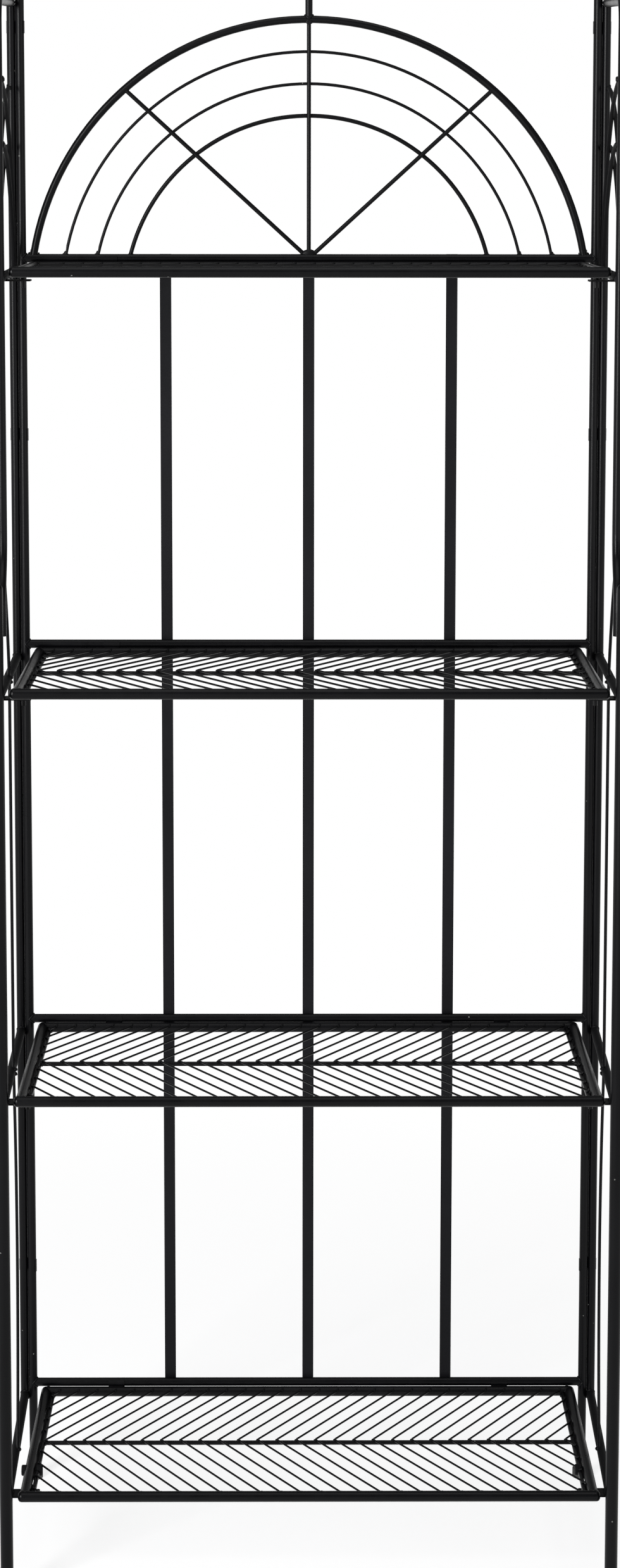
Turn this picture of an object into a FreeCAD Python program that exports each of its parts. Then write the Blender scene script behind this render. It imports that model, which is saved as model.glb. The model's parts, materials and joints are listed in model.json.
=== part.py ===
import FreeCAD, Part
import math
import os

# A folding plant rack of black steel tube: a back frame with an arched fan, two side
# frames hinged on the back posts, and four herringbone wire shelves hinged on the back
# rails. Millimetres, +Z up, front towards -Y, origin on the floor under the middle.

V = FreeCAD.Vector
X_AXIS = V(1, 0, 0)
Z_AXIS = V(0, 0, 1)

# Overall sizes
BACK_CLEAR = 645.0          # clear width between the two back posts
SIDE_DEPTH = 315.0          # back plane to the axis of the lower front posts
UPPER_DEPTH = 272.0         # back plane to the axis of the upper front posts
LEVEL_PITCH = 444.5         # one shelf level to the next
BOTTOM_RAIL_Z = 118.0       # axis of the lowest back rail above the floor
LEVELS = 4
TRIM_BACK = 2.0             # a rod is drawn to this far short of the axis it meets, then trimmed

# Back frame
POST_D = 10.0               # back posts and rear posts of the side frames
RAIL_D = 10.0               # back rails
BACK_POST_RISE = 294.0      # top of a back post above the top rail's axis
FINIAL_D = 14.0             # ball on a back post
FINIAL_SINK = 2.0           # how deep a ball is set on its post
BAR_W = 13.0                # flat upright bars
BAR_T = 3.0
BAR_X = 164.0               # outer bars from the middle
BAR_OVERRUN = 5.0           # bars past the axes of the end rails
FOOT_H = 12.0               # foot caps
FOOT_D = 21.0
FOOT_EDGE = 2.5             # rounding of a foot cap's top edge
FOOT_POCKET = 6.0           # how far a post stands in its foot cap

# Fan above the top rail
ARCH_R = 318.5              # outer arch, measured on the rod's axis
ARCH_DROP = 49.0            # common centre below the top rail's axis
ARCH_STEP = 36.0            # one arch to the next
ARCH_D = 8.5
THIN_ARCH_D = 3.5
INNER_ARCH_D = 4.8
ARCH_BACK = 1.0             # outer arch behind the back plane
SPOKE_D = 4.8
SPOKE_ANGLE = 42.4          # slanting spokes above the rail
UPRIGHT_D = 8.2
UPRIGHT_RISE = 42.0         # length of the upright above the outer arch
UPRIGHT_BALL_D = 18.0

# Side frames, laid out in their own plane and then toed in about the back post's axis
POST_GAP = 0.3              # between a back post and the rear post beside it
POST_SETBACK = 2.5          # rear post's axis behind the back post's axis
TOE_IN = 2.15               # degrees
FRONT_POST_D = 14.0
FRONT_POST_OUT = 4.9        # lower front post outside the plane of its side frame
FRONT_POST_RISE = 111.0     # top of a lower front post above the second back rail's axis
FRONT_FOOT_D = 24.0
SIDE_TUBE_D = 10.0
SIDE_RAIL_DROP = 15.0       # side rail's axis below the back rail's axis
REAR_POST_TAIL = 6.0        # rear post below the lowest side rail's axis
TOP_RAIL_RISE = 288.0       # rear end of the top rail above the top back rail's axis
TOP_RAIL_FALL = 14.0        # how much the top rail falls towards the front
TOP_RAIL_TAIL = 4.0         # top rail behind the rear post's axis
TOP_BEND_R = 24.0
STEP_RISE = 158.0           # start of the upper front post's bend above the second back rail's axis
STEP_LENGTH = 80.0
STEP_TAIL = 25.0            # straight end that lies along the lower post
LATTICE_D = 4.8
UPPER_ARC_RISE = 192.5      # high end of the upper lattice arc above the top back rail's axis
UPPER_ARC_MIDDLE = (150.0, 145.5)   # a point on it: from the post it starts at, above the rail
UPPER_ARC_FOOT = 266.0      # its low end from that post
LOWER_ARC_RISE = 124.5      # the same sizes of the lower lattice arc
LOWER_ARC_MIDDLE = (137.0, 100.5)
LOWER_ARC_FOOT = 243.0
STAY_D = 3.5
STAY_DEPTH = 170.0          # thin stays from the back plane
STAY_BOW = 36.0             # bow of the lowest stay towards the back
STAY_TOP_RISE = 150.0       # top end of the highest stay above the second side rail
STAY_TOP_BOW = 12.0         # its bow towards the back

# Hinge straps of the side frames
STRAP_H = 14.0
STRAP_T = 0.5
STRAP_END = 60.0            # where a strap ends on the inner side, in degrees from the front
PIVOT_CLEARANCE = 0.05      # all round a pivot
STRAP_LOW_RISE = 144.0      # lowest strap above the lowest back rail's axis
STRAP_MIDDLE_DROP = 201.5   # middle strap below the top back rail's axis
STRAP_TOP_RISE = 260.5      # highest strap above the top back rail's axis

# Shelves
LOWER_SHELF_DEPTH = 305.0   # back plane to the front rod's axis
UPPER_SHELF_DEPTH = 262.0
SHELF_ROD_D = 11.6
SHELF_SIDE_GAP = 5.2        # side rod to the line of the back post's inner face
FRONT_ROD_OVERHANG = 1.5    # front rod past the side rods
FRONT_ROD_END_R = 4.0       # rounding of its closed ends
SHELF_DROP = 9.0            # shelf rods' axes below the back rail's axis
GRID_ROD_D = 5.0
GRID_GAP = 0.3              # side rod to the inner side rod
GRID_SINK = 1.2             # inner rods' axes below the frame rods' axes
WIRE_D = 2.2
WIRE_PITCH = 22.0
WIRE_ANGLE = 57.0           # wire to the long side of the shelf
WIRE_BEND_R = 4.0
SHORTEST_WIRE = 12.0        # a clipped end piece of wire is left out below this length
CLIP_T = 0.8
CLIP_L = 19.0
CLIP_X = 228.0
CLIP_OPEN = (45.0, 165.0)   # the clip's open side, in degrees up and back from the front
PEG_D = 4.5
PEG_L = 11.5                # below the side rod
PEG_SETBACK = 30.0          # peg's axis behind the front rod's axis
PEG_INSET = 5.3             # peg's axis inside the side rod's axis
STUD_D = 12.0               # round studs near the front of the lowest shelf's side rods
OUTER_STUD_T = 3.8          # how far the outer stud stands out
INNER_STUD_T = 2.6          # how far the inner ones do
STUD_EDGE = 1.2             # rounding of their outer edges
STUD_DEPTH = 232.0          # back plane to the studs

# Notched tabs on the side frames
TAB_T = 2.0
TAB_W = 20.0
TAB_REACH = 8.5             # tab past the peg's axis
TAB_GAP = 2.6               # side rod above the tab
NOTCH_CLEARANCE = 2.5       # round the peg, which leans as the shelf is lifted

# Places that follow from the sizes
POST_R = POST_D / 2
HINGE_X = BACK_CLEAR / 2 + POST_R
POST_PITCH = POST_D + POST_GAP
POST_STEP = math.sqrt(POST_PITCH ** 2 - POST_SETBACK ** 2)
SIDE_X = HINGE_X + POST_STEP
FRONT_X = SIDE_X + FRONT_POST_OUT
TOE = math.radians(TOE_IN)
FRONT_REACH = SIDE_DEPTH * math.cos(TOE) + (FRONT_X - HINGE_X) * math.sin(TOE)
BACK_Y = (FRONT_REACH + FRONT_FOOT_D / 2 - FOOT_D / 2) / 2
TOP_RAIL_Z = BOTTOM_RAIL_Z + LEVEL_PITCH * (LEVELS - 1)
SECOND_RAIL_Z = TOP_RAIL_Z - LEVEL_PITCH
STEP_TOP_Z = SECOND_RAIL_Z + STEP_RISE
STRAP_Z = (BOTTOM_RAIL_Z + STRAP_LOW_RISE, TOP_RAIL_Z - STRAP_MIDDLE_DROP, TOP_RAIL_Z + STRAP_TOP_RISE)
CLIP_R = RAIL_D / 2 + PIVOT_CLEARANCE + CLIP_T
SHELF_LEAD = math.sqrt((CLIP_R + SHELF_ROD_D / 2) ** 2 - SHELF_DROP ** 2)
SHELF_X = BACK_CLEAR / 2 - SHELF_SIDE_GAP - SHELF_ROD_D / 2
GRID_X = SHELF_X - SHELF_ROD_D / 2 - GRID_GAP - GRID_ROD_D / 2
PEG_X = SHELF_X - PEG_INSET


def rail_z(level):
    """Height of a back rail's axis; level 1 is the top one."""
    return TOP_RAIL_Z - LEVEL_PITCH * (level - 1)


def shelf_depth(level):
    return UPPER_SHELF_DEPTH if level == 1 else LOWER_SHELF_DEPTH


def rod(start, end, diameter):
    axis = end - start
    return Part.makeCylinder(diameter / 2, axis.Length, start, axis)


def bent_rod(edges, diameter):
    """A round rod along edges that follow each other smoothly."""
    path = Part.Wire(edges)
    first = edges[0]
    start = first.valueAt(first.FirstParameter)
    heading = first.tangentAt(first.FirstParameter)
    section = Part.Wire(Part.makeCircle(diameter / 2, start, heading))
    shell = Part.BRepOffsetAPI.MakePipeShell(path)
    shell.setFrenetMode(True)
    shell.add(section)
    shell.build()
    shell.makeSolid()
    solid = shell.shape()
    if solid.Volume < 0:
        solid.reverse()
    return solid


def arc(a, b, c):
    return Part.Arc(a, b, c).toShape()


def line(a, b):
    return Part.makeLine(a, b)


def only_solid(shape):
    """The largest solid of a cut shape."""
    return max(shape.Solids, key=lambda solid: solid.Volume)


def save(name, shapes):
    solids = [solid for shape in shapes for solid in shape.Solids]
    shape = solids[0] if len(solids) == 1 else Part.makeCompound(solids)
    shape.exportStep(os.path.join("parts", name + ".step"))


def foot_cap(x, y, diameter, post_d):
    """A round cap with a flat sole and a pocket for the end of its post."""
    cap = Part.makeCylinder(diameter / 2, FOOT_H, V(x, y, 0))
    rim = [edge for edge in cap.Edges if abs(edge.BoundBox.ZMin - FOOT_H) < 1e-6]
    cap = cap.makeFillet(FOOT_EDGE, rim)
    pocket = Part.makeCylinder(post_d / 2, FOOT_H, V(x, y, FOOT_H - FOOT_POCKET))
    return cap.cut(pocket)


# Back frame

def back_post(x):
    top_z = TOP_RAIL_Z + BACK_POST_RISE
    post = rod(V(x, BACK_Y, FOOT_H - FOOT_POCKET), V(x, BACK_Y, top_z), POST_D)
    ball = Part.makeSphere(FINIAL_D / 2, V(x, BACK_Y, top_z + FINIAL_D / 2 - FINIAL_SINK))
    return post.fuse(ball).removeSplitter()


def back_rail(level, posts):
    z = rail_z(level)
    end = HINGE_X - TRIM_BACK
    rail = rod(V(-end, BACK_Y, z), V(end, BACK_Y, z), RAIL_D)
    return only_solid(rail.cut(posts))


def back_bar(x):
    low = rail_z(LEVELS) - BAR_OVERRUN
    high = rail_z(1) + BAR_OVERRUN
    return Part.makeBox(BAR_W, BAR_T, high - low, V(x - BAR_W / 2, BACK_Y + RAIL_D / 2, low))


def arch(radius, diameter, y, rail):
    """A bent rod of the fan that stands on the top rail."""
    centre = V(0, y, TOP_RAIL_Z - ARCH_DROP)
    half = math.acos(ARCH_DROP / radius)
    ends = []
    for turn in (-half, 0.0, half):
        ends.append(centre + V(radius * math.sin(turn), 0, radius * math.cos(turn)))
    return only_solid(bent_rod([arc(ends[0], ends[1], ends[2])], diameter).cut(rail))


def fan(top_rail):
    """The four arches, the three spokes and the upright above the outer arch."""
    pieces = {}
    centre_z = TOP_RAIL_Z - ARCH_DROP
    behind_spokes = BACK_Y + SPOKE_D / 2
    outer = arch(ARCH_R, ARCH_D, BACK_Y + ARCH_BACK, top_rail)
    pieces["arch_outer"] = [outer]
    thin_y = behind_spokes + THIN_ARCH_D / 2
    pieces["arch_second"] = [arch(ARCH_R - ARCH_STEP, THIN_ARCH_D, thin_y, top_rail)]
    pieces["arch_third"] = [arch(ARCH_R - 2 * ARCH_STEP, THIN_ARCH_D, thin_y, top_rail)]
    inner_y = behind_spokes + INNER_ARCH_D / 2
    pieces["arch_inner"] = [arch(ARCH_R - 3 * ARCH_STEP, INNER_ARCH_D, inner_y, top_rail)]

    foot = V(0, BACK_Y, TOP_RAIL_Z)
    upright_foot = V(0, BACK_Y + ARCH_BACK, centre_z + ARCH_R + TRIM_BACK)
    centre = rod(foot, V(0, BACK_Y, centre_z + ARCH_R - TRIM_BACK), SPOKE_D)
    centre = only_solid(centre.cut([top_rail, outer]))
    spokes = [centre]
    slope = math.radians(SPOKE_ANGLE)
    height = ARCH_DROP * math.sin(slope)
    length = math.sqrt(ARCH_R ** 2 - (ARCH_DROP * math.cos(slope)) ** 2) - height - TRIM_BACK
    for side in (-1, 1):
        tip = foot + V(side * length * math.cos(slope), 0, length * math.sin(slope))
        spoke = rod(foot, tip, SPOKE_D)
        spokes.append(only_solid(spoke.cut([top_rail, outer, centre])))
    pieces["spokes"] = spokes

    top = upright_foot + V(0, 0, UPRIGHT_RISE)
    upright = rod(upright_foot, top, UPRIGHT_D)
    ball = Part.makeSphere(UPRIGHT_BALL_D / 2, top + V(0, 0, UPRIGHT_BALL_D / 2 - FINIAL_SINK))
    upright = upright.fuse(ball).removeSplitter()
    pieces["centre_upright"] = [only_solid(upright.cut([outer, centre]))]
    return pieces


def back_frame():
    posts = [back_post(-HINGE_X), back_post(HINGE_X)]
    pieces = {"back_post_left": [posts[0]], "back_post_right": [posts[1]]}
    for level in range(1, LEVELS + 1):
        pieces["back_rail_%d" % level] = [back_rail(level, posts)]
    pieces["back_bars"] = [back_bar(x) for x in (-BAR_X, 0.0, BAR_X)]
    pieces.update(fan(pieces["back_rail_1"][0]))
    feet = [foot_cap(x, BACK_Y, FOOT_D, POST_D) for x in (-HINGE_X, HINGE_X)]
    pieces["back_feet"] = feet
    return pieces


# Side frames, drawn on the left in the plane of the frame

def at(depth, z, out=0.0):
    """A point of the left side frame before it is toed in."""
    return V(-SIDE_X - out, BACK_Y - depth, z)


def front_post():
    out = FRONT_X - SIDE_X
    radius = FRONT_POST_D / 2
    low = at(SIDE_DEPTH, FOOT_H - FOOT_POCKET, out)
    shoulder = at(SIDE_DEPTH, SECOND_RAIL_Z + FRONT_POST_RISE - radius, out)
    post = rod(low, shoulder, FRONT_POST_D)
    return post.fuse(Part.makeSphere(radius, shoulder)).removeSplitter()


def upper_tube():
    """The top rail, its bend, the upper front post and its step forward."""
    rear_z = TOP_RAIL_Z + TOP_RAIL_RISE
    fall = math.atan2(TOP_RAIL_FALL, UPPER_DEPTH)
    tail = POST_SETBACK + TOP_RAIL_TAIL
    start = at(-tail, rear_z + tail * math.tan(fall))
    turn = math.pi / 2 - fall
    setback = TOP_BEND_R * math.tan(turn / 2)
    corner_z = rear_z - TOP_RAIL_FALL
    bend_start = at(UPPER_DEPTH - setback * math.cos(fall), corner_z + setback * math.sin(fall))
    bend_end = at(UPPER_DEPTH, corner_z - setback)
    centre_depth = UPPER_DEPTH - TOP_BEND_R
    centre_z = corner_z - setback
    middle = math.pi / 4 - fall / 2
    bend_middle = at(centre_depth + TOP_BEND_R * math.cos(middle),
                     centre_z + TOP_BEND_R * math.sin(middle))

    touch = (FRONT_POST_D + SIDE_TUBE_D) / 2
    end_depth = SIDE_DEPTH - math.sqrt(touch ** 2 - FRONT_POST_OUT ** 2)
    offset = end_depth - UPPER_DEPTH
    half_turn = 2 * math.atan2(offset, STEP_LENGTH)
    radius = STEP_LENGTH / (2 * math.sin(half_turn))
    step_top = at(UPPER_DEPTH, STEP_TOP_Z)
    step_middle = at(UPPER_DEPTH + offset / 2, STEP_TOP_Z - STEP_LENGTH / 2)
    step_end = at(end_depth, STEP_TOP_Z - STEP_LENGTH)
    shift = radius * (1 - math.cos(half_turn / 2))
    drop = radius * math.sin(half_turn / 2)
    upper_point = at(UPPER_DEPTH + shift, STEP_TOP_Z - drop)
    lower_point = at(end_depth - shift, STEP_TOP_Z - STEP_LENGTH + drop)
    low_end = at(end_depth, STEP_TOP_Z - STEP_LENGTH - STEP_TAIL)
    edges = [
        line(start, bend_start),
        arc(bend_start, bend_middle, bend_end),
        line(bend_end, step_top),
        arc(step_top, upper_point, step_middle),
        arc(step_middle, lower_point, step_end),
        line(step_end, low_end),
    ]
    return bent_rod(edges, SIDE_TUBE_D)


def side_rail_z(level):
    return rail_z(level) - SIDE_RAIL_DROP


def side_rail(level, posts):
    """A rail from the rear post to the upper tube, or a lower one that aims at the lower post."""
    z = side_rail_z(level)
    depth = UPPER_DEPTH if level == 1 else SIDE_DEPTH
    out = 0.0 if level == 1 else FRONT_POST_OUT
    rail = rod(at(TRIM_BACK - POST_SETBACK, z), at(depth - TRIM_BACK, z, out), SIDE_TUBE_D)
    return only_solid(rail.cut(posts))


def lattice_arc(rise, middle, foot, from_front):
    """A lattice rod that falls from one post to the side rail near the other."""
    points = []
    head = TRIM_BACK if from_front else TRIM_BACK - POST_SETBACK
    for depth, z in ((head, TOP_RAIL_Z + rise),
                     (middle[0], TOP_RAIL_Z + middle[1]),
                     (foot, side_rail_z(1))):
        if from_front:
            points.append(at(UPPER_DEPTH - depth, z, -LATTICE_D / 2))
        else:
            points.append(at(depth, z, LATTICE_D / 2))
    return bent_rod([arc(*points)], LATTICE_D)


def lattice(posts, rail):
    """Two arcs that fall to the front and, on their inner side, two that fall to the back."""
    rods = []
    for from_front in (False, True):
        for rise, middle, foot in ((UPPER_ARC_RISE, UPPER_ARC_MIDDLE, UPPER_ARC_FOOT),
                                   (LOWER_ARC_RISE, LOWER_ARC_MIDDLE, LOWER_ARC_FOOT)):
            piece = lattice_arc(rise, middle, foot, from_front)
            rods.append(only_solid(piece.cut(posts + [rail])))
    return rods


def stays(tube, rails):
    """Thin rods from the step of the upper post down to the lowest side rail."""
    z = [side_rail_z(level) for level in range(1, LEVELS + 1)]
    knee_z = z[1] + STAY_TOP_RISE
    head = at(UPPER_DEPTH, knee_z)
    neck = at((UPPER_DEPTH + STAY_DEPTH) / 2 - STAY_TOP_BOW, (knee_z + z[1]) / 2)
    top = bent_rod([arc(head, neck, at(STAY_DEPTH, z[1]))], STAY_D)
    middle = rod(at(STAY_DEPTH, z[1]), at(STAY_DEPTH, z[2]), STAY_D)
    belly = at(STAY_DEPTH - STAY_BOW, (z[2] + z[3]) / 2)
    low = bent_rod([arc(at(STAY_DEPTH, z[2]), belly, at(STAY_DEPTH, z[3]))], STAY_D)
    return [only_solid(piece.cut([tube] + rails)) for piece in (top, middle, low)]


def hinge_strap(z):
    """A strap behind both posts that ends round the front of the back post."""
    clear = POST_R + PIVOT_CLEARANCE
    hinge = V(-HINGE_X, BACK_Y, z - STRAP_H / 2)
    strap = oblong(hinge, clear + STRAP_T).cut(oblong(hinge, clear))
    corners = [hinge]
    for turn in (-STRAP_END, 0.0, 45.0, 90.0):
        outward = math.sin(math.radians(turn))
        forward = math.cos(math.radians(turn))
        corners.append(hinge + V(-outward, -forward, 0) * 4 * POST_PITCH)
    open_front = Part.Face(Part.makePolygon(corners + [hinge])).extrude(Z_AXIS * STRAP_H)
    strap = only_solid(strap.cut(open_front))
    strap.rotate(hinge, Z_AXIS, -math.degrees(math.asin(POST_SETBACK / POST_PITCH)))
    return strap


def oblong(hinge, radius):
    """An upright bar with round ends about the hinge and one post's pitch outside it."""
    outer = hinge - X_AXIS * POST_PITCH
    ends = [Part.makeCylinder(radius, STRAP_H, place) for place in (hinge, outer)]
    middle = Part.makeBox(POST_PITCH, 2 * radius, STRAP_H, outer - V(0, radius, 0))
    return ends[0].fuse([ends[1], middle]).removeSplitter()


def toe_in(shape):
    turned = shape.copy()
    turned.rotate(V(-HINGE_X, BACK_Y, 0), Z_AXIS, TOE_IN)
    return turned


def tab(level, rail):
    """A flat tab on a side rail, under the shelf's side, notched for the peg."""
    z = rail_z(level) - SHELF_DROP - SHELF_ROD_D / 2 - TAB_GAP - TAB_T
    y = BACK_Y - shelf_depth(level) + PEG_SETBACK
    tip = -PEG_X + TAB_REACH
    plate = Part.makeBox(tip + SIDE_X, TAB_W, TAB_T, V(-SIDE_X, y - TAB_W / 2, z))
    corners = [edge for edge in plate.Edges
               if edge.BoundBox.ZLength > TAB_T / 2 and abs(edge.BoundBox.XMin - tip) < 1e-6]
    prong = TAB_W / 2 - PEG_D / 2 - NOTCH_CLEARANCE
    plate = plate.makeFillet(prong / 2, corners)
    notch_r = PEG_D / 2 + NOTCH_CLEARANCE
    notch = Part.makeCylinder(notch_r, TAB_T, V(-PEG_X, y, z))
    mouth = Part.makeBox(TAB_REACH, 2 * notch_r, TAB_T, V(-PEG_X, y - notch_r, z))
    return only_solid(plate.cut([notch, mouth, rail]))


def side_frame():
    """All pieces of the left side frame in their places."""
    lower_post = front_post()
    tube = upper_tube()
    tail_z = side_rail_z(LEVELS) - REAR_POST_TAIL
    head_z = TOP_RAIL_Z + TOP_RAIL_RISE - TRIM_BACK
    rear_post = rod(at(-POST_SETBACK, tail_z), at(-POST_SETBACK, head_z), POST_D)
    rear_post = only_solid(rear_post.cut(tube))
    posts = [rear_post, lower_post, tube]
    rails = [side_rail(level, posts) for level in range(1, LEVELS + 1)]
    flat = {"rear_post": [rear_post], "front_post": [lower_post], "upper_tube": [tube]}
    for level, rail in enumerate(rails, 1):
        flat["rail_%d" % level] = [rail]
    flat["lattice"] = lattice([rear_post, tube], rails[0])
    flat["stays"] = stays(tube, rails)
    foot_place = at(SIDE_DEPTH, 0, FRONT_X - SIDE_X)
    flat["foot"] = [foot_cap(foot_place.x, foot_place.y, FRONT_FOOT_D, FRONT_POST_D)]
    flat["hinge_straps"] = [hinge_strap(z) for z in STRAP_Z]
    pieces = {name: [toe_in(shape) for shape in shapes] for name, shapes in flat.items()}
    levels = range(1, LEVELS + 1)
    pieces["tabs"] = [tab(level, pieces["rail_%d" % level][0]) for level in levels]
    return pieces


# Shelves

def shelf_point(level, x, depth, rise=0.0):
    return V(x, BACK_Y - depth, rail_z(level) - SHELF_DROP + rise)


def shelf_frame(level):
    """Front rod with closed round ends, rear rod and two side rods."""
    depth = shelf_depth(level)
    radius = SHELF_ROD_D / 2
    reach = SHELF_X + radius + FRONT_ROD_OVERHANG
    front = rod(shelf_point(level, -reach, depth), shelf_point(level, reach, depth), SHELF_ROD_D)
    front = front.makeFillet(FRONT_ROD_END_R, [e for e in front.Edges if e.BoundBox.XLength < 1e-6])
    rods = [front]
    for x in (-SHELF_X, SHELF_X):
        rear_end = shelf_point(level, x, SHELF_LEAD)
        side = rod(rear_end, shelf_point(level, x, depth - TRIM_BACK), SHELF_ROD_D)
        side = side.fuse(Part.makeSphere(radius, rear_end)).removeSplitter()
        rods.append(only_solid(side.cut(front)))
    end = SHELF_X - TRIM_BACK
    rear = rod(shelf_point(level, -end, SHELF_LEAD), shelf_point(level, end, SHELF_LEAD), SHELF_ROD_D)
    rods.append(only_solid(rear.cut(rods[1:3])))
    return rods


def grid_rods(level, frame):
    """Two inner side rods and the centre rod that the wires cross."""
    depth = shelf_depth(level)
    middle = (depth + SHELF_LEAD) / 2
    sides = []
    for x in (-GRID_X, GRID_X):
        side = rod(shelf_point(level, x, SHELF_LEAD + TRIM_BACK, -GRID_SINK),
                   shelf_point(level, x, depth - TRIM_BACK, -GRID_SINK), GRID_ROD_D)
        sides.append(only_solid(side.cut([frame[0], frame[3]])))
    end = GRID_X - GRID_ROD_D / 4
    centre = rod(shelf_point(level, -end, middle, -GRID_SINK),
                 shelf_point(level, end, middle, -GRID_SINK), GRID_ROD_D)
    return sides + [only_solid(centre.cut(sides))]


def wire(level, frame):
    """One bent wire with its point at x = 0, trimmed at the front and rear rods."""
    depth = shelf_depth(level)
    rise = GRID_ROD_D / 2 + WIRE_D / 2 - GRID_SINK
    middle = (depth + SHELF_LEAD) / 2
    half = (depth - SHELF_LEAD) / 2
    run = half / math.tan(math.radians(WIRE_ANGLE))
    slope = math.radians(WIRE_ANGLE)
    setback = WIRE_BEND_R / math.tan(slope)
    bend_dx = setback * math.cos(slope)
    bend_dy = setback * math.sin(slope)
    nose = WIRE_BEND_R / math.sin(slope) - WIRE_BEND_R
    edges = [
        line(shelf_point(level, run, middle + half, rise),
             shelf_point(level, bend_dx, middle + bend_dy, rise)),
        arc(shelf_point(level, bend_dx, middle + bend_dy, rise),
            shelf_point(level, nose, middle, rise),
            shelf_point(level, bend_dx, middle - bend_dy, rise)),
        line(shelf_point(level, bend_dx, middle - bend_dy, rise),
             shelf_point(level, run, middle - half, rise)),
    ]
    return only_solid(bent_rod(edges, WIRE_D).cut([frame[0], frame[3]]))


def wires(level, frame):
    """The herringbone: full wires, and clipped ones at both ends of the shelf."""
    pattern = wire(level, frame)
    box = pattern.BoundBox
    count = int((2 * GRID_X + box.XMax) / WIRE_PITCH)
    first = -GRID_X - box.XMax + (2 * GRID_X + box.XMax - count * WIRE_PITCH) / 2
    window = Part.makeBox(2 * GRID_X, 2 * shelf_depth(level), LEVEL_PITCH,
                          V(-GRID_X, BACK_Y - 1.5 * shelf_depth(level), rail_z(level) - LEVEL_PITCH / 2))
    solids = []
    for step in range(count + 1):
        copy = pattern.copy()
        copy.translate(V(first + step * WIRE_PITCH, 0, 0))
        if copy.BoundBox.XMin < -GRID_X or copy.BoundBox.XMax > GRID_X:
            copy = copy.common(window)
        solids.extend(piece for piece in copy.Solids if piece.BoundBox.DiagonalLength > SHORTEST_WIRE)
    return solids


def hinge_clips(level):
    """Clips that turn on the back rail, open at the top, and touch the shelf's rear rod."""
    clips = []
    for x in (-CLIP_X, CLIP_X):
        base = V(x - CLIP_L / 2, BACK_Y, rail_z(level))
        outside = Part.makeCylinder(CLIP_R, CLIP_L, base, X_AXIS)
        bore = Part.makeCylinder(RAIL_D / 2 + PIVOT_CLEARANCE, CLIP_L, base, X_AXIS)
        corners = [base]
        for share in (0.0, 0.5, 1.0):
            turn = math.radians(CLIP_OPEN[0] + share * (CLIP_OPEN[1] - CLIP_OPEN[0]))
            corners.append(base + V(0, -2 * CLIP_R * math.cos(turn), 2 * CLIP_R * math.sin(turn)))
        mouth = Part.Face(Part.makePolygon(corners + [base])).extrude(X_AXIS * CLIP_L)
        clips.append(only_solid(outside.cut([bore, mouth])))
    return clips


def pegs(level, neighbours):
    """Pins between each side rod and its inner rod that stand in the notched tabs."""
    low = -SHELF_ROD_D / 2 - PEG_L
    depth = shelf_depth(level) - PEG_SETBACK
    pins = []
    for x in (-PEG_X, PEG_X):
        pin = rod(shelf_point(level, x, depth, low), shelf_point(level, x, depth), PEG_D)
        pins.append(only_solid(pin.cut(neighbours)))
    return pins


def studs(level, neighbours):
    """Round studs beside the left side rod and inside both inner rods, near the front."""
    inner = GRID_X - GRID_ROD_D / 2 - INNER_STUD_T
    outer = SHELF_X + SHELF_ROD_D / 2 + OUTER_STUD_T
    solids = []
    for x, heading in ((-outer, X_AXIS), (-inner, -X_AXIS), (inner, X_AXIS)):
        face = shelf_point(level, x, STUD_DEPTH, -GRID_SINK)
        stud = Part.makeCylinder(STUD_D / 2, OUTER_STUD_T + GRID_ROD_D / 2, face, heading)
        rim = [e for e in stud.Edges if e.BoundBox.XLength < 1e-6 and abs(e.BoundBox.XMin - x) < 1e-6]
        stud = stud.makeFillet(STUD_EDGE, rim)
        solids.append(only_solid(stud.cut(neighbours)))
    return solids


def shelf(level):
    frame = shelf_frame(level)
    grid = grid_rods(level, frame)
    pieces = {
        "frame": frame,
        "grid_rods": grid,
        "wires": wires(level, frame),
        "hinge_clips": hinge_clips(level),
        "pegs": pegs(level, frame + grid),
    }
    if level == LEVELS:
        pieces["studs"] = studs(level, frame + grid + pieces["wires"])
    return pieces


def main():
    os.makedirs("parts", exist_ok=True)
    for name, shapes in back_frame().items():
        save(name, shapes)
    for name, shapes in side_frame().items():
        save("left_" + name, shapes)
        save("right_" + name, [shape.mirror(V(0, 0, 0), X_AXIS) for shape in shapes])
    for level in range(1, LEVELS + 1):
        for name, shapes in shelf(level).items():
            save("shelf_%d_%s" % (level, name), shapes)


main()
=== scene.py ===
import json
import math

import bmesh
import bpy
from mathutils import Matrix, Vector, noise

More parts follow.
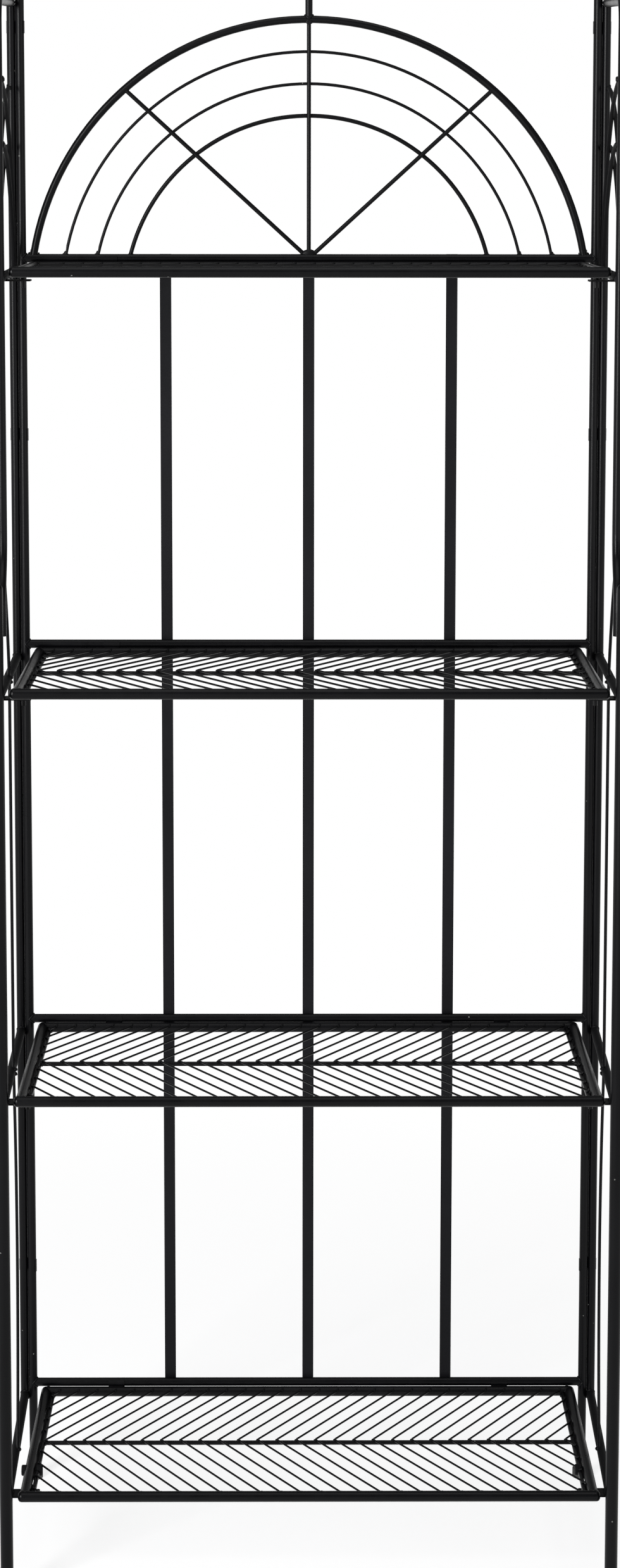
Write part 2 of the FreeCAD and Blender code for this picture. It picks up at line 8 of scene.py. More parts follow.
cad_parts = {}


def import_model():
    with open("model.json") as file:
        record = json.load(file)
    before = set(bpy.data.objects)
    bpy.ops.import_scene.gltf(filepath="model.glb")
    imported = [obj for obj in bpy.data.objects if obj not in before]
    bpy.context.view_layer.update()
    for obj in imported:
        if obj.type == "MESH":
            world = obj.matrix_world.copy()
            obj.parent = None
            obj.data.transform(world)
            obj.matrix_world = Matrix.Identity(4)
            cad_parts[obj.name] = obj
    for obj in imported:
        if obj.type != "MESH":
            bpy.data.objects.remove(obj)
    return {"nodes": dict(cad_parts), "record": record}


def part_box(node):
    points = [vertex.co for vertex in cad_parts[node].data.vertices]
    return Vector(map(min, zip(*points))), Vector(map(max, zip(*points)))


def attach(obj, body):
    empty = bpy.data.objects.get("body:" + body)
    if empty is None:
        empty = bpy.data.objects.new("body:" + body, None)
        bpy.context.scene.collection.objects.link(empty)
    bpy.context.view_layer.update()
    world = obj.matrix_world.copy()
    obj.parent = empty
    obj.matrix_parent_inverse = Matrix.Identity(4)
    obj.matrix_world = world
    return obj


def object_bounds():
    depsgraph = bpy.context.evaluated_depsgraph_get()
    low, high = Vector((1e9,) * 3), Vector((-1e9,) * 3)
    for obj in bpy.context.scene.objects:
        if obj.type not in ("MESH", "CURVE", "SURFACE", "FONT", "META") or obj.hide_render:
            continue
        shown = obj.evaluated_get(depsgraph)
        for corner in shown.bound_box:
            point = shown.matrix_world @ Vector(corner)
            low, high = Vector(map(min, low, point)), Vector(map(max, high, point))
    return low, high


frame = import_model()
cad_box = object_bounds()
nodes = frame["nodes"]
slot_of = {part["node"]: part["material_slot"] for part in frame["record"]["subparts"]}

# Sizes in metres, repeated from the CAD source where a weld needs them
TUBE_R = 0.005              # posts and rails
SHELF_ROD_R = 0.0058
FRONT_POST_R = 0.007
HINGE_X = 0.3275            # axes of the back posts
POST_SETBACK = 0.0025       # rear posts of the side frames behind the back posts
POST_PITCH = 0.0103
SIDE_X = HINGE_X + math.sqrt(POST_PITCH ** 2 - POST_SETBACK ** 2)   # before the frame is toed in
FRONT_X = SIDE_X + 0.0049
SIDE_DEPTH = 0.315
UPPER_DEPTH = 0.272
TOE_IN = math.radians(2.15)
SIDE_RAIL_DROP = 0.015
RAIL_Z = [1.4515, 1.007, 0.5625, 0.118]
BACK_Y = sum(corner.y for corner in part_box("back_rail_1")) / 2
SHELF_DROP = 0.009
SHELF_X = 0.3115
GRID_X = 0.3029
GRID_ROD_R = 0.0025
SEAM_END = 0.050            # seam beside a shelf's inner rod stops this far behind the front rod
WIRE_ANGLE = math.radians(57.0)     # wires to the long side of a shelf
ARCH_CENTRE_Z = 1.4025
ARCH_R = 0.3185
ARCH_INNER_RADII = (0.2825, 0.2465, 0.2105)
ARCH_ROD_R = 0.00425
ARCH_BACK = 0.001
FAN_FRONT = 0.0031          # the fan's welds stop this far before the back plane, clear of a raised shelf
SPOKE_R = 0.0024
SPOKE_ANGLE = math.radians(42.4)
UPRIGHT_R = 0.0041
BAR_X = 0.164
BAR_HALF = 0.0065

# Weld sizes in metres: the radius of a bead, and of a blob before it is stretched
ARCH_FOOT_BLOB = 0.0052
THIN_FOOT_BLOB = 0.0026
FOOT_SINK = 0.0008          # foot welds' centres below the top of the rail
SPOKE_END_BLOB = 0.0036
HUB_BLOB = 0.0062
HUB_OFFSET = Vector((0, -0.0004, 0.0008))
CROSSING_BLOB = 0.0026      # where a spoke crosses an arch
BACK_RAIL_BEAD = 0.0012
BAR_BEAD = 0.0011
BAR_SEAM_RISE = 0.0030      # a bar's seams above and below a rail's axis
BAR_SEAM_BACK = 0.0044
APEX_BEAD = 0.0015
SIDE_RAIL_BEAD = 0.0013
FRONT_POST_BEAD = 0.0010
LATTICE_BLOB = 0.0034
STAY_BLOB = 0.0027
STEP_BEAD = 0.0012          # seams between the upper tube's tail and the front post
STEP_SEAM_HALF = 0.0026     # half the distance between the two seams
STEP_SEAM_START = 0.0015
STEP_SEAM_STEP = 0.0026
TAB_BEAD = 0.0013
TAB_EDGE = 0.004            # width of the strip of a tab that lies on its rail
SHELF_FRONT_BEAD = 0.0012
SHELF_REAR_BEAD = 0.0007
SEAM_BEAD = 0.0009          # seam beside a shelf's inner rod
SEAM_DROP = 0.0009
SEAM_STEPS = 79
PEG_BLOB = 0.0026
PEG_SINK = 0.0012
GRID_BLOB = 0.0034
WIRE_BEAD = 0.0014
WIRE_STEP = 0.0011
WIRE_RISE = 0.35
NOSE_BLOB = 0.0019          # under a wire's bend
NOSE_DROP = 0.0008
NOSE_CLEAR = 0.004          # a bend nearer than this to the inner rod has no blob
CLIP_BEAD = 0.0010
CLIP_SEAM_HALF = 0.0019
CLIP_MARGIN = 0.001
ROD_END_DEPTH = 0.0008      # vertices this near to a rod's tip count as its end
LINE_START = 0.03           # lines that look for a host rod start this far before the rod's end
SKEW = Vector((0.31, 0.52, 0.79))   # a direction that no rod has

# Coats: pattern scales in features per metre
CLOUD_SCALE = 9.0
STREAK_SCALE = (60.0, 60.0, 14.0)
GRAIN_SCALE = 900.0
DUST_SCALE = 45.0
CHIP_SCALE = 120.0
CHIP_PATCH_SCALE = 31.0
PEEL_SCALE = 160.0
CHIP_SIZE = 0.10            # as a share of a cell
COAT_BLUE = 1.25            # blue of the black paint against its red and green
COAT_SPECULAR = 0.13

# Photograph's camera
IMAGE_H = 2477
FOCAL_PX = 4857.7
OPTICAL_ROW = 878.4         # row of the photograph that the lens axis passes through
CAMERA_AT = Vector((-0.0181, BACK_Y - 3.5268, 1.5263))
CAMERA_YAW = 0.00562        # towards +X
CAMERA_PITCH = 0.11767      # downwards
CAMERA_ROLL = -0.00089


# Materials

class Nodes:
    """Short calls for building one material's node tree."""

    def __init__(self, name):
        self.material = bpy.data.materials.new(name)
        self.material.use_nodes = True
        self.tree = self.material.node_tree
        self.shader = self.tree.nodes["Principled BSDF"]

    def add(self, kind, **inputs):
        node = self.tree.nodes.new(kind)
        for key, value in inputs.items():
            node.inputs[key].default_value = value
        return node

    def link(self, source, target):
        self.tree.links.new(source, target)

    def noise(self, place, scale, detail=4.0, roughness=0.55):
        node = self.add("ShaderNodeTexNoise", Scale=scale, Detail=detail, Roughness=roughness)
        self.link(place, node.inputs["Vector"])
        return node.outputs["Fac"]

    def ramp(self, value, stops):
        node = self.add("ShaderNodeValToRGB")
        ramp = node.color_ramp
        ramp.elements[0].position, ramp.elements[0].color = stops[0]
        ramp.elements[1].position, ramp.elements[1].color = stops[-1]
        for position, colour in stops[1:-1]:
            ramp.elements.new(position).color = colour
        self.link(value, node.inputs["Fac"])
        return node.outputs["Color"]

    def span(self, value, low, high):
        node = self.add("ShaderNodeMapRange")
        node.inputs["To Min"].default_value = low
        node.inputs["To Max"].default_value = high
        self.link(value, node.inputs["Value"])
        return node.outputs["Result"]

    def mix(self, factor, a, b):
        node = self.tree.nodes.new("ShaderNodeMix")
        node.data_type = "RGBA"
        self.link(factor, node.inputs["Factor"])
        for socket, value in ((node.inputs[6], a), (node.inputs[7], b)):
            if isinstance(value, tuple):
                socket.default_value = value
            else:
                self.link(value, socket)
        return node.outputs[2]

    def math(self, operation, a, b):
        node = self.tree.nodes.new("ShaderNodeMath")
        node.operation = operation
        for socket, value in ((node.inputs[0], a), (node.inputs[1], b)):
            if isinstance(value, float):
                socket.default_value = value
            else:
                self.link(value, socket)
        return node.outputs[0]

    def bump(self, height, strength, distance, normal=None):
        node = self.add("ShaderNodeBump", Strength=strength, Distance=distance)
        self.link(height, node.inputs["Height"])
        if normal is not None:
            self.link(normal, node.inputs["Normal"])
        return node.outputs["Normal"]


def grey(value, blue=1.0):
    return (value, value, value * blue, 1.0)


DUST_COLOUR = grey(0.16, 0.94)
CHIP_COLOUR = grey(0.15, 0.95)


def coat(name, dark, light, gloss, peel, dust, chips):
    """Black powder coat: orange peel, uneven sheen, dust on upper faces and pale chips."""
    m = Nodes(name)
    place = m.add("ShaderNodeTexCoord").outputs["Object"]
    cloud = m.noise(place, CLOUD_SCALE)
    streak_map = m.add("ShaderNodeMapping", Scale=STREAK_SCALE)
    m.link(place, streak_map.inputs["Vector"])
    streak = m.noise(streak_map.outputs["Vector"], 1.0, detail=6.0)
    grain = m.noise(place, GRAIN_SCALE, detail=2.0)
    paint = m.ramp(m.math("MULTIPLY", cloud, m.math("ADD", streak, 0.5)),
                   [(0.2, grey(dark, COAT_BLUE)), (0.8, grey(light, COAT_BLUE))])

    normal = m.add("ShaderNodeNewGeometry").outputs["Normal"]
    split = m.add("ShaderNodeSeparateXYZ")
    m.link(normal, split.inputs["Vector"])
    upward = m.math("MAXIMUM", split.outputs["Z"], 0.0)
    patchy = m.span(m.noise(place, DUST_SCALE, detail=8.0, roughness=0.7), -0.5, 1.3)
    dusty = m.math("MULTIPLY", m.math("MULTIPLY", upward, patchy), dust)
    colour = m.mix(dusty, paint, DUST_COLOUR)

    cells = m.add("ShaderNodeTexVoronoi", Scale=CHIP_SCALE)
    m.link(place, cells.inputs["Vector"])
    near = m.math("LESS_THAN", cells.outputs["Distance"], CHIP_SIZE)
    rare = m.math("GREATER_THAN", m.noise(place, CHIP_PATCH_SCALE, detail=2.0), 1.0 - chips)
    chip = m.math("MULTIPLY", near, rare)
    colour = m.mix(chip, colour, CHIP_COLOUR)
    m.link(colour, m.shader.inputs["Base Color"])

    sheen = m.span(streak, gloss - 0.07, gloss + 0.09)
    m.link(m.math("ADD", sheen, m.math("MULTIPLY", dusty, 0.5)), m.shader.inputs["Roughness"])
    waves = m.bump(m.noise(place, PEEL_SCALE, detail=2.0), 0.10 * peel, 0.0006)
    fine = m.bump(grain, 0.16 * peel, 0.0002, waves)
    pits = m.bump(m.math("SUBTRACT", 1.0, chip), 0.3, 0.0002, fine)
    m.link(pits, m.shader.inputs["Normal"])
    m.shader.inputs["Specular IOR Level"].default_value = COAT_SPECULAR
    return m.material


def cap_plastic(name):
    """Black moulded plastic of the foot caps: fine spark texture, scuffed near the floor."""
    m = Nodes(name)
    place = m.add("ShaderNodeTexCoord").outputs["Object"]
    split = m.add("ShaderNodeSeparateXYZ")
    m.link(place, split.inputs["Vector"])
    low = m.math("SUBTRACT", 1.0, m.math("MULTIPLY", split.outputs["Z"], 140.0))
    scuffs = m.math("MULTIPLY", m.math("MAXIMUM", low, 0.0), m.noise(place, 300.0, detail=6.0))
    plastic = m.ramp(m.noise(place, 70.0), [(0.3, grey(0.010)), (0.7, grey(0.019))])
    m.link(m.mix(scuffs, plastic, grey(0.11, 0.92)), m.shader.inputs["Base Color"])
    m.link(m.span(m.noise(place, 110.0), 0.48, 0.72), m.shader.inputs["Roughness"])
    m.link(m.bump(m.noise(place, 1500.0, detail=2.0), 0.35, 0.0002), m.shader.inputs["Normal"])
    return m.material


# Each coat's darkest and lightest paint, roughness, orange peel, dust and share of chipped patches
MATERIALS = {
    "tube": coat("satin_coat_tube", 0.0014, 0.0036, 0.28, 0.4, 0.010, 0.34),
    "rod": coat("satin_coat_rod", 0.0014, 0.0034, 0.33, 0.5, 0.008, 0.33),
    "foot_cap": cap_plastic("moulded_cap"),
}
BAR_COAT = coat("satin_coat_bar", 0.0040, 0.0085, 0.44, 0.8, 0.010, 0.33)
MATT_COAT = coat("matt_coat", 0.0014, 0.0036, 0.74, 0.8, 0.008, 0.30)
WELD_COAT = coat("rough_coat_weld", 0.0016, 0.0040, 0.38, 2.0, 0.020, 0.30)


def paint_nodes():
    own_coats = {"back_bars": BAR_COAT, "shelf_4_studs": MATT_COAT}
    for side in ("left", "right"):
        for part in ("rail_1", "rail_2", "rail_3", "rail_4", "lattice"):
            own_coats[side + "_" + part] = MATT_COAT
    for name, obj in nodes.items():
        material = own_coats.get(name, MATERIALS[slot_of[name]])
        obj.data.materials.clear()
        obj.data.materials.append(material)


# Weld beads

class Welds:
    """All the weld metal of one body, built up as one mesh of lumpy beads."""

    def __init__(self, body):
        self.body = body
        self.mesh = bmesh.new()

    @staticmethod
    def ripple(where):
        """An uneven factor about 1 that varies from place to place."""
        return 1.0 + 0.28 * noise.noise(where * 420.0) + 0.12 * noise.noise(where * 1300.0)

    def run(self, path, radius, closed):
        """A rounded bead along a path, with the ripples of a weld."""
        sides = 8
        rings = []
        total = len(path)
        for i, point in enumerate(path):
            before = path[(i - 1) % total] if closed or i else point
            after = path[(i + 1) % total] if closed or i < total - 1 else point
            heading = (after - before).normalized()
            side = heading.cross(SKEW).normalized()
            up = heading.cross(side)
            swell = radius * self.ripple(point)
            if not closed and i in (0, total - 1):
                swell *= 0.35
            ring = []
            for k in range(sides):
                turn = 2 * math.pi * k / sides
                outward = math.cos(turn) * side + math.sin(turn) * up
                ring.append(self.mesh.verts.new(point + swell * outward))
            rings.append(ring)
        pairs = list(zip(rings, rings[1:]))
        if closed:
            pairs.append((rings[-1], rings[0]))
        for a, b in pairs:
            shift = self.nearest(a[0].co, b)
            for k in range(sides):
                quad = (a[k], a[(k + 1) % sides], b[(k + 1 + shift) % sides], b[(k + shift) % sides])
                self.mesh.faces.new(quad)
        if not closed:
            self.mesh.faces.new(rings[0])
            self.mesh.faces.new(rings[-1])

    @staticmethod
    def nearest(point, ring):
        return min(range(len(ring)), key=lambda k: (ring[k].co - point).length_squared)

    def blob(self, centre, radius, stretch=(1.0, 1.0, 1.0)):
        """A lump of weld metal over the end of a thin rod."""
        place = Matrix.Translation(centre) @ Matrix.Diagonal((*stretch, 1.0))
        made = bmesh.ops.create_icosphere(self.mesh, subdivisions=2, radius=radius, matrix=place)
        for vert in made["verts"]:
            vert.co = centre + (vert.co - centre) * self.ripple(vert.co)

    def saddle(self, end, heading, rod_r, host, host_axis, host_r, bead):
        """The bead round a rod where it lands on another rod. Heading points into the host."""
        heading = heading.normalized()
        host_axis = host_axis.normalized()
        side = heading.cross(host_axis).normalized()
        up = heading.cross(side)
        path = []
        steps = 28
        for k in range(steps):
            turn = 2 * math.pi * k / steps
            rim = end + rod_r * (math.cos(turn) * side + math.sin(turn) * up)
            start = rim - heading * LINE_START
            path.append(self.landing(start, heading, host, host_axis, host_r))
        self.run(path, bead, True)

    @staticmethod
    def landing(start, heading, host, host_axis, host_r):
        """Where a line first meets the host rod, or comes nearest to its axis."""
        across = heading - host_axis * heading.dot(host_axis)
        offset = start - host
        offset = offset - host_axis * offset.dot(host_axis)
        a = across.dot(across)
        b = 2 * across.dot(offset)
        c = offset.dot(offset) - host_r ** 2
        inside = max(b * b - 4 * a * c, 0.0)
        return start + heading * ((-b - math.sqrt(inside)) / (2 * a))

    def flatten(self, axis, low, high):
        """Press the beads made so far flat where they stand out past a limit."""
        for vert in self.mesh.verts:
            vert.co[axis] = min(max(vert.co[axis], low), high)

    def place(self):
        mesh = bpy.data.meshes.new(self.body + "_welds")
        for axis in (0, 1):
            self.flatten(axis, cad_box[0][axis], cad_box[1][axis])
        self.mesh.normal_update()
        bmesh.ops.recalc_face_normals(self.mesh, faces=self.mesh.faces)
        for face in self.mesh.faces:
            face.smooth = True
        self.mesh.to_mesh(mesh)
        self.mesh.free()
        obj = bpy.data.objects.new(self.body + "_welds", mesh)
        bpy.context.scene.collection.objects.link(obj)
        mesh.materials.append(WELD_COAT)
        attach(obj, self.body)


def islands(name):
    """Vertex places of each separate rod in a CAD node."""
    work = bmesh.new()
    work.from_mesh(nodes[name].data)
    bmesh.ops.remove_doubles(work, verts=work.verts, dist=1e-6)
    seen = set()
    groups = []
    for vert in work.verts:
        if vert in seen:
            continue
        group = []
        waiting = [vert]
        seen.add(vert)
        while waiting:
            current = waiting.pop()
            group.append(current.co.copy())
            for edge in current.link_edges:
                other = edge.other_vert(current)
                if other not in seen:
                    seen.add(other)
                    waiting.append(other)
        groups.append(group)
    work.free()
    return groups


def tip(points, direction):
    """Middle of a rod's end: the vertices that reach furthest in a direction."""
    direction = Vector(direction)
    reach = max(point.dot(direction) for point in points)
    end = [point for point in points if point.dot(direction) > reach - ROD_END_DEPTH]
    return sum(end, Vector()) / len(end)


def weld_back():
    welds = Welds("back_frame")
    x_axis = Vector((1, 0, 0))
    z_axis = Vector((0, 0, 1))
    rail_top = Vector((0, BACK_Y, RAIL_Z[0] + TUBE_R))
    for name in ("arch_outer", "arch_second", "arch_third", "arch_inner"):
        points = islands(name)[0]
        for side in (-1, 1):
            foot = tip([p for p in points if p.x * side > 0], (0, 0, -1))
            size = ARCH_FOOT_BLOB if name == "arch_outer" else THIN_FOOT_BLOB
            foot.z = RAIL_Z[0] + TUBE_R - FOOT_SINK
            welds.blob(foot, size, (1.35, 0.85, 0.8))
            welds.blob(foot + Vector((0, 0, 0.45 * size)), 0.8 * size, (1.0, 0.8, 1.5))
    for points in islands("spokes"):
        end = tip(points, (0, 0, 1))
        welds.blob(end, SPOKE_END_BLOB, (1.1, 0.9, 0.9))
    welds.blob(rail_top + HUB_OFFSET, HUB_BLOB, (1.5, 0.7, 0.75))
    for radius in ARCH_INNER_RADII:
        for angle in (SPOKE_ANGLE, math.pi / 2, math.pi - SPOKE_ANGLE):
            drop = RAIL_Z[0] - ARCH_CENTRE_Z
            reach = math.sqrt(radius ** 2 - (drop * math.cos(angle)) ** 2) - drop * math.sin(angle)
            place = Vector((reach * math.cos(angle), BACK_Y + SPOKE_R, RAIL_Z[0] + reach * math.sin(angle)))
            welds.blob(place, CROSSING_BLOB, (1.15, 0.75, 1.0))
    welds.flatten(1, BACK_Y - FAN_FRONT, BACK_Y + TUBE_R)
    for z in RAIL_Z:
        for side in (-1, 1):
            end = Vector((side * HINGE_X, BACK_Y, z))
            welds.saddle(end, x_axis * side, TUBE_R, end, z_axis, TUBE_R, BACK_RAIL_BEAD)
        for x in (-BAR_X, 0.0, BAR_X):
            for rise in (-BAR_SEAM_RISE, BAR_SEAM_RISE):
                path = [Vector((x + BAR_HALF * (k / 4 - 1), BACK_Y + BAR_SEAM_BACK, z + rise))
                        for k in range(9)]
                welds.run(path, BAR_BEAD, False)
    welds.flatten(1, cad_box[0][1], BACK_Y + TUBE_R)
    apex = Vector((0, BACK_Y + ARCH_BACK, ARCH_CENTRE_Z + ARCH_R))
    welds.saddle(apex, -z_axis, UPRIGHT_R, apex, x_axis, ARCH_ROD_R, APEX_BEAD)
    welds.place()


def side_place(sign):
    """Turns a point of the left side frame's flat layout into its place on that side."""
    hinge = Matrix.Translation((-HINGE_X, BACK_Y, 0))
    turn = hinge @ Matrix.Rotation(TOE_IN, 4, "Z") @ hinge.inverted()
    flip = Matrix.Diagonal((-sign, 1, 1, 1))
    return flip @ turn


def weld_side(name, sign):
    welds = Welds(name + "_side")
    matrix = side_place(sign)
    turn = matrix.to_3x3()

    def at(depth, z, x=SIDE_X):
        return matrix @ Vector((-x, BACK_Y - depth, z))

    forward = turn @ Vector((0, -1, 0))
    up = Vector((0, 0, 1))
    for level, rail in enumerate(RAIL_Z):
        z = rail - SIDE_RAIL_DROP
        rear = at(-POST_SETBACK, z)
        welds.saddle(rear, -forward, TUBE_R, rear, up, TUBE_R, SIDE_RAIL_BEAD)
        if level == 0:
            front = at(UPPER_DEPTH, z)
            welds.saddle(front, forward, TUBE_R, front, up, TUBE_R, SIDE_RAIL_BEAD)
        else:
            front = at(SIDE_DEPTH, z, FRONT_X)
            along = (front - rear).normalized()
            welds.saddle(front, along, TUBE_R, front, up, FRONT_POST_R, FRONT_POST_BEAD)
    for points in islands(name + "_lattice"):
        low_end = tip(points, (0, 0, -1))
        middle = sum(points, Vector()) / len(points)
        away = math.copysign(1.0, middle.y - low_end.y)
        welds.blob(low_end, LATTICE_BLOB, (0.8, 1.3, 0.8))
        welds.blob(tip(points, (0, away, 0)), LATTICE_BLOB, (0.8, 0.8, 1.1))
    for points in islands(name + "_stays"):
        for direction in ((0, 0, 1), (0, 0, -1)):
            welds.blob(tip(points, direction), STAY_BLOB, (1.0, 1.3, 0.9))
    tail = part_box(name + "_upper_tube")[0].z
    inward = (FRONT_X - SIDE_X) / (FRONT_POST_R + TUBE_R)
    backward = math.sqrt(1 - inward ** 2)
    for side in (-1, 1):
        x = FRONT_X - FRONT_POST_R * inward + side * STEP_SEAM_HALF * backward
        depth = SIDE_DEPTH - FRONT_POST_R * backward - side * STEP_SEAM_HALF * inward
        path = [at(depth, tail + STEP_SEAM_START + STEP_SEAM_STEP * k, x) for k in range(12)]
        welds.run(path, STEP_BEAD, False)
    for points in islands(name + "_tabs"):
        middle = sum(points, Vector()) / len(points)
        outer = [p for p in points if abs(p.x) > abs(tip(points, (sign, 0, 0)).x) - TAB_EDGE]
        rear = max(outer, key=lambda p: p.y)
        front = min(outer, key=lambda p: p.y)
        path = [rear.lerp(front, k / 9) for k in range(10)]
        for p in path:
            p.z = middle.z
        welds.run(path, TAB_BEAD, False)
    welds.place()


def weld_shelf(number):
    name = "shelf_%d" % number
    welds = Welds(name)
    z = RAIL_Z[number - 1] - SHELF_DROP
    low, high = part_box(name + "_frame")
    front_y = low.y + SHELF_ROD_R
    rear_y = high.y - SHELF_ROD_R
    x_axis = Vector((1, 0, 0))
    y_axis = Vector((0, 1, 0))
    z_axis = Vector((0, 0, 1))
    for side in (-1, 1):
        front = Vector((side * SHELF_X, front_y, z))
        rear = Vector((side * SHELF_X, rear_y, z))
        welds.saddle(front, -y_axis, SHELF_ROD_R, front, x_axis, SHELF_ROD_R, SHELF_FRONT_BEAD)
        welds.saddle(rear, x_axis * side, SHELF_ROD_R, rear, y_axis, SHELF_ROD_R, SHELF_REAR_BEAD)
        seam_x = (SHELF_X - SHELF_ROD_R + GRID_X + GRID_ROD_R) / 2
        seam = Vector((side * seam_x, rear_y, z - SEAM_DROP))
        length = rear_y - front_y - SEAM_END
        path = [seam - y_axis * length * k / SEAM_STEPS for k in range(SEAM_STEPS + 1)]
        welds.run(path, SEAM_BEAD, False)
    for points in islands(name + "_pegs"):
        welds.blob(tip(points, z_axis) - z_axis * PEG_SINK, PEG_BLOB, (1.1, 1.4, 0.8))
    for points in islands(name + "_grid_rods"):
        spans = [max(p[i] for p in points) - min(p[i] for p in points) for i in range(2)]
        direction = x_axis if spans[0] > spans[1] else y_axis
        welds.blob(tip(points, direction), GRID_BLOB)
        welds.blob(tip(points, -direction), GRID_BLOB)
    for points in islands(name + "_wires"):
        for outward in (1, -1):
            end = tip(points, (0, outward, 0))
            along = Vector((math.cos(WIRE_ANGLE), outward * math.sin(WIRE_ANGLE), WIRE_RISE))
            path = [end + along * WIRE_STEP * (k - 2) for k in range(6)]
            welds.run(path, WIRE_BEAD, False)
        nose = tip(points, (-1, 0, 0))
        if nose.x > -GRID_X + NOSE_CLEAR:
            welds.blob(nose - z_axis * NOSE_DROP, NOSE_BLOB, (1.0, 1.2, 0.8))
    rail = Vector((0, BACK_Y, RAIL_Z[number - 1]))
    rear_rod = Vector((0, rear_y, z))
    reach = (rear_rod - rail).normalized()
    touch = rear_rod - reach * SHELF_ROD_R
    across = reach.cross(x_axis)
    for points in islands(name + "_hinge_clips"):
        left = min(p.x for p in points) + CLIP_MARGIN
        right = max(p.x for p in points) - CLIP_MARGIN
        for side in (-1, 1):
            beside = touch + across * side * CLIP_SEAM_HALF
            path = [beside + x_axis * (left + (right - left) * k / 11) for k in range(12)]
            welds.run(path, CLIP_BEAD, False)
    welds.flatten(2, low.z, high.z)
    welds.place()


# Studio

SHADOW_SHARE = 0.35         # how much of the floor's white the object's shadow can take away
SHADOW_REACH = 1.6          # the shadow has faded out this far from the middle
LIT_LEVEL = 0.72            # brightness of the open floor near the object
ROOM_LIGHT = 0.20           # world's light on the object
ROOM_COLOUR = (0.93, 0.96, 1.0, 1.0)
WALL_TOP = math.radians(4.5)
FLOOR_HALF = 9.0

# Lamps: place, aim, width, height and watts
KEY_LAMP = ((-2.2, -2.9, 2.0), (0, 0, 1.35), 1.1, 2.6, 155.0)
FILL_LAMP = ((2.8, -2.2, 1.8), (0, 0, 0.9), 1.2, 2.4, 12.0)
TOP_LAMP = ((0, -0.6, 4.2), (0, 0, 0), 3.0, 3.0, 45.0)


def white_when_seen(tree):
    """One for camera, mirror and glass rays, nought for the rays that carry light."""
    path = tree.nodes.new("ShaderNodeLightPath")
    seen = path.outputs["Is Camera Ray"]
    for name in ("Is Glossy Ray", "Is Transmission Ray"):
        either = tree.nodes.new("ShaderNodeMath")
        either.operation = "MAXIMUM"
        tree.links.new(seen, either.inputs[0])
        tree.links.new(path.outputs[name], either.inputs[1])
        seen = either.outputs[0]
    return seen


def world():
    """A white backdrop up to WALL_TOP above the horizon, and a dim room over it."""
    scene = bpy.context.scene
    scene.world = bpy.data.worlds.new("studio")
    scene.world.use_nodes = True
    tree = scene.world.node_tree
    light = tree.nodes["Background"]
    light.inputs["Color"].default_value = ROOM_COLOUR
    light.inputs["Strength"].default_value = ROOM_LIGHT
    seen = tree.nodes.new("ShaderNodeBackground")
    place = tree.nodes.new("ShaderNodeTexCoord")
    split = tree.nodes.new("ShaderNodeSeparateXYZ")
    tree.links.new(place.outputs["Generated"], split.inputs["Vector"])
    height = tree.nodes.new("ShaderNodeMapRange")
    height.inputs["From Min"].default_value = math.sin(WALL_TOP)
    height.inputs["From Max"].default_value = math.sin(2.0 * WALL_TOP)
    height.inputs["To Min"].default_value = 1.0
    height.inputs["To Max"].default_value = ROOM_LIGHT
    tree.links.new(split.outputs["Z"], height.inputs["Value"])
    tree.links.new(height.outputs["Result"], seen.inputs["Strength"])
    seen.inputs["Color"].default_value = (1.0, 1.0, 1.0, 1.0)
    mixed = tree.nodes.new("ShaderNodeMixShader")
    tree.links.new(white_when_seen(tree), mixed.inputs["Fac"])
    tree.links.new(light.outputs["Background"], mixed.inputs[1])
    tree.links.new(seen.outputs["Background"], mixed.inputs[2])
    tree.links.new(mixed.outputs["Shader"], tree.nodes["World Output"].inputs["Surface"])


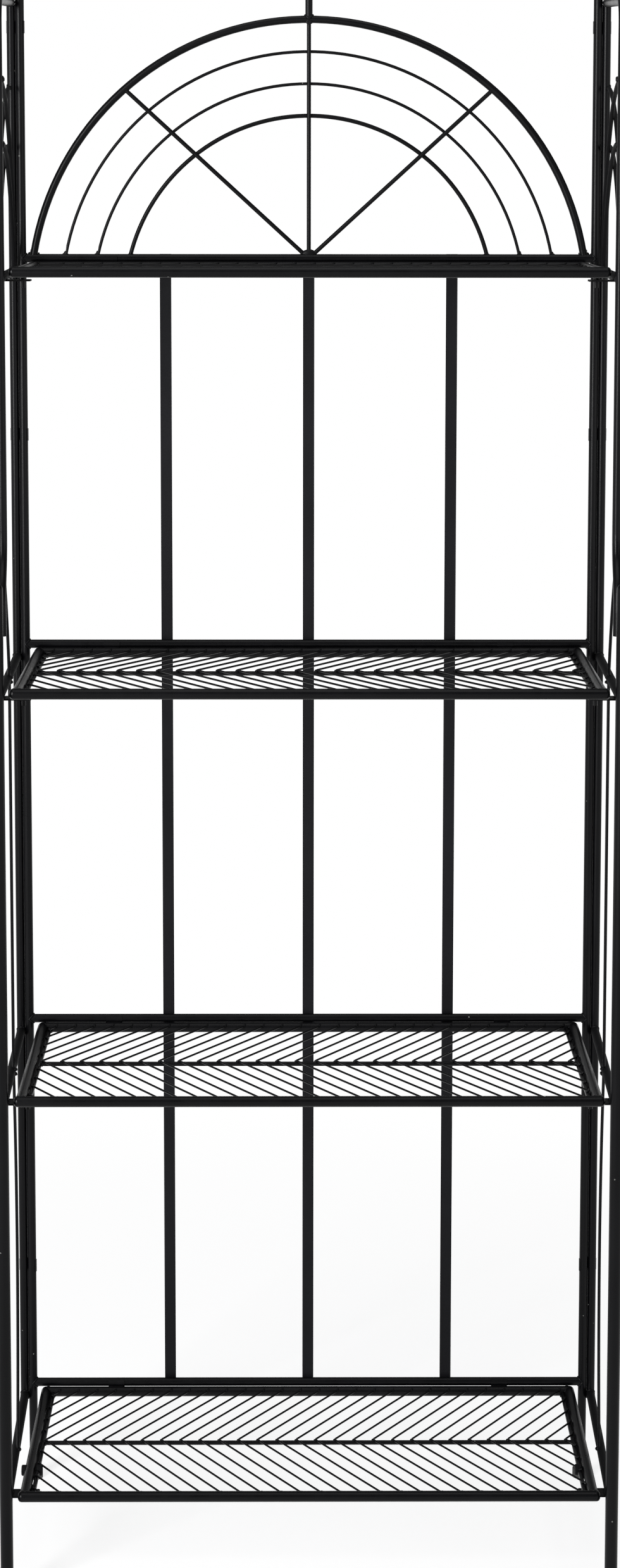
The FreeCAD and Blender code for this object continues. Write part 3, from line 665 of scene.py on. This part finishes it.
def floor():
    mesh = bpy.data.meshes.new("floor")
    signs = ((-1, -1), (1, -1), (1, 1), (-1, 1))
    corners = [(x * FLOOR_HALF, y * FLOOR_HALF, 0) for x, y in signs]
    mesh.from_pydata(corners, [], [(0, 1, 2, 3)])
    obj = bpy.data.objects.new("floor", mesh)
    bpy.context.scene.collection.objects.link(obj)
    m = Nodes("pale_floor")
    place = m.add("ShaderNodeTexCoord").outputs["Object"]
    pale = m.ramp(m.noise(place, 3.0), [(0.3, grey(0.93)), (0.7, grey(0.95))])
    m.link(pale, m.shader.inputs["Base Color"])
    m.shader.inputs["Roughness"].default_value = 0.9
    shadow = m.add("ShaderNodeBsdfDiffuse", Color=grey(SHADOW_SHARE))
    glow = m.add("ShaderNodeEmission", Color=grey(1.0), Strength=1.0 - LIT_LEVEL * SHADOW_SHARE)
    near = m.add("ShaderNodeAddShader")
    m.link(shadow.outputs["BSDF"], near.inputs[0])
    m.link(glow.outputs["Emission"], near.inputs[1])
    plain = m.add("ShaderNodeEmission", Color=grey(1.0), Strength=1.0)
    length = m.tree.nodes.new("ShaderNodeVectorMath")
    length.operation = "LENGTH"
    m.link(place, length.inputs[0])
    away = m.add("ShaderNodeMapRange")
    away.inputs["From Min"].default_value = SHADOW_REACH * 0.4
    away.inputs["From Max"].default_value = SHADOW_REACH
    m.link(length.outputs["Value"], away.inputs["Value"])
    white = m.add("ShaderNodeMixShader")
    m.link(away.outputs["Result"], white.inputs["Fac"])
    m.link(near.outputs["Shader"], white.inputs[1])
    m.link(plain.outputs["Emission"], white.inputs[2])
    mixed = m.add("ShaderNodeMixShader")
    m.link(white_when_seen(m.tree), mixed.inputs["Fac"])
    m.link(m.shader.outputs["BSDF"], mixed.inputs[1])
    m.link(white.outputs["Shader"], mixed.inputs[2])
    m.link(mixed.outputs["Shader"], m.tree.nodes["Material Output"].inputs["Surface"])
    mesh.materials.append(m.material)


def softbox(name, at, towards, width, height, power):
    light = bpy.data.lights.new(name, "AREA")
    light.shape = "RECTANGLE"
    light.size = width
    light.size_y = height
    light.energy = power
    obj = bpy.data.objects.new(name, light)
    obj.location = at
    obj.rotation_euler = (Vector(towards) - Vector(at)).to_track_quat("-Z", "Y").to_euler()
    bpy.context.scene.collection.objects.link(obj)


def lights():
    softbox("key", *KEY_LAMP)
    softbox("fill", *FILL_LAMP)
    softbox("top", *TOP_LAMP)


def camera():
    scene = bpy.context.scene
    data = bpy.data.cameras.new("photo_camera")
    data.sensor_fit = "VERTICAL"
    data.sensor_height = 36.0
    data.lens = FOCAL_PX / IMAGE_H * data.sensor_height
    data.shift_y = (OPTICAL_ROW - IMAGE_H / 2) / IMAGE_H
    data.clip_start = 0.05
    data.clip_end = 60.0
    ahead = Vector((math.sin(CAMERA_YAW) * math.cos(CAMERA_PITCH),
                    math.cos(CAMERA_YAW) * math.cos(CAMERA_PITCH),
                    -math.sin(CAMERA_PITCH)))
    right = Vector((math.cos(CAMERA_YAW), -math.sin(CAMERA_YAW), 0.0))
    down = ahead.cross(right)
    right, down = (math.cos(CAMERA_ROLL) * right + math.sin(CAMERA_ROLL) * down,
                   math.cos(CAMERA_ROLL) * down - math.sin(CAMERA_ROLL) * right)
    obj = bpy.data.objects.new("photo_camera", data)
    turn = Matrix((right, -down, -ahead)).transposed()
    obj.matrix_world = Matrix.Translation(CAMERA_AT) @ turn.to_4x4()
    scene.collection.objects.link(obj)
    scene.camera = obj


paint_nodes()
weld_back()
weld_side("left", -1)
weld_side("right", 1)
for shelf in range(1, 5):
    weld_shelf(shelf)
world()
floor()
lights()
camera()
bpy.context.scene.view_settings.view_transform = "Standard"
